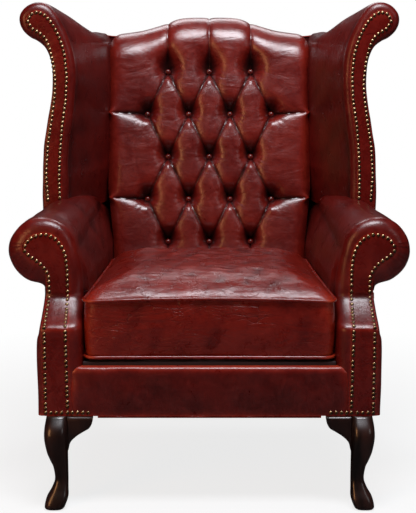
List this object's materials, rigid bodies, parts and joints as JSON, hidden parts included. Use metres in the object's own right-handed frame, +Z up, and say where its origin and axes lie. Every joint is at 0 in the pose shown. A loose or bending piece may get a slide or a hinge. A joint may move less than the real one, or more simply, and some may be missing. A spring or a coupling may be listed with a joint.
{
  "type": "queen anne wing chair",
  "caption": "Deep-buttoned leather wing chair with rolled arms, brass nail trim, loose piped seat cushion and cabriole front legs.",
  "frame": {"origin": "on the floor, midway between the sides and midway between the front feet and the back heels", "axes": "+Z up, -Y towards the front, +X to the right seen from the front"},
  "size_m": [0.85, 0.824, 1.0404],
  "materials": {
    "oxblood_leather": "hand rubbed, deep red going purple-black in the folds",
    "cushion_leather": "hand rubbed, warmer where it is sat on",
    "antique_brass": "antiqued",
    "leg_mahogany": "gloss",
    "frame_timber": "planed",
    "spring_steel": "drawn",
    "webbing": "woven jute",
    "deck_felt": "felt",
    "dust_cloth": "matte",
    "zip_tape": "woven",
    "zip_brass": "satin",
    "cushion_foam": "foam with a feather wrap"
  },
  "bodies": {
    "chair": {"back_buttons": "oxblood_leather", "back_seat_rail": "frame_timber", "back_webbing": "webbing", "base_welt": "oxblood_leather", "border_nails": "antique_brass", "corner_blocks": "frame_timber", "crest_rail": "frame_timber", "dust_cover": "dust_cloth", "front_border": "oxblood_leather", "front_seat_rail": "frame_timber", "inside_back": "oxblood_leather", "knee_blocks": "leg_mahogany", "left_arm_facing": "oxblood_leather", "left_arm_nails": "antique_brass", "left_arm_rail": "frame_timber", "left_back_leg": "leg_mahogany", "left_back_post": "frame_timber", "left_front_leg": "leg_mahogany", "left_front_post": "frame_timber", "left_inside_arm": "oxblood_leather", "left_inside_wing": "oxblood_leather", "left_outside_arm": "oxblood_leather", "left_outside_wing": "oxblood_leather", "left_seat_rail": "frame_timber", "left_wing_facing": "oxblood_leather", "left_wing_nails": "antique_brass", "left_wing_post": "frame_timber", "left_wing_rail": "frame_timber", "leg_bolts": "spring_steel", "lower_back_rail": "frame_timber", "outside_back": "oxblood_leather", "right_arm_facing": "oxblood_leather", "right_arm_nails": "antique_brass", "right_arm_rail": "frame_timber", "right_back_leg": "leg_mahogany", "right_back_post": "frame_timber", "right_front_leg": "leg_mahogany", "right_front_post": "frame_timber", "right_inside_arm": "oxblood_leather", "right_inside_wing": "oxblood_leather", "right_outside_arm": "oxblood_leather", "right_outside_wing": "oxblood_leather", "right_seat_rail": "frame_timber", "right_wing_facing": "oxblood_leather", "right_wing_nails": "antique_brass", "right_wing_post": "frame_timber", "right_wing_rail": "frame_timber", "seat_deck": "deck_felt", "seat_springs": "spring_steel", "spring_clips": "spring_steel"},
    "seat_cushion": {"cushion_core": "cushion_foam", "cushion_top_panel": "cushion_leather", "cushion_border": "cushion_leather", "cushion_bottom_panel": "cushion_leather", "top_piping": "cushion_leather", "bottom_piping": "cushion_leather", "zip_tape": "zip_tape"},
    "zip_slider_body": {"zip_slider": "zip_brass"}
  },
  "joints": [
    {"name": "cushion_lift", "type": "slide", "parent": "chair", "child": "seat_cushion", "axis": [0, 0, 1], "range_m": [0, 0.3]},
    {"name": "zip_slide", "type": "slide", "parent": "seat_cushion", "child": "zip_slider_body", "axis": [1, 0, 0], "range_m": [0, 0.35]}
  ]
}
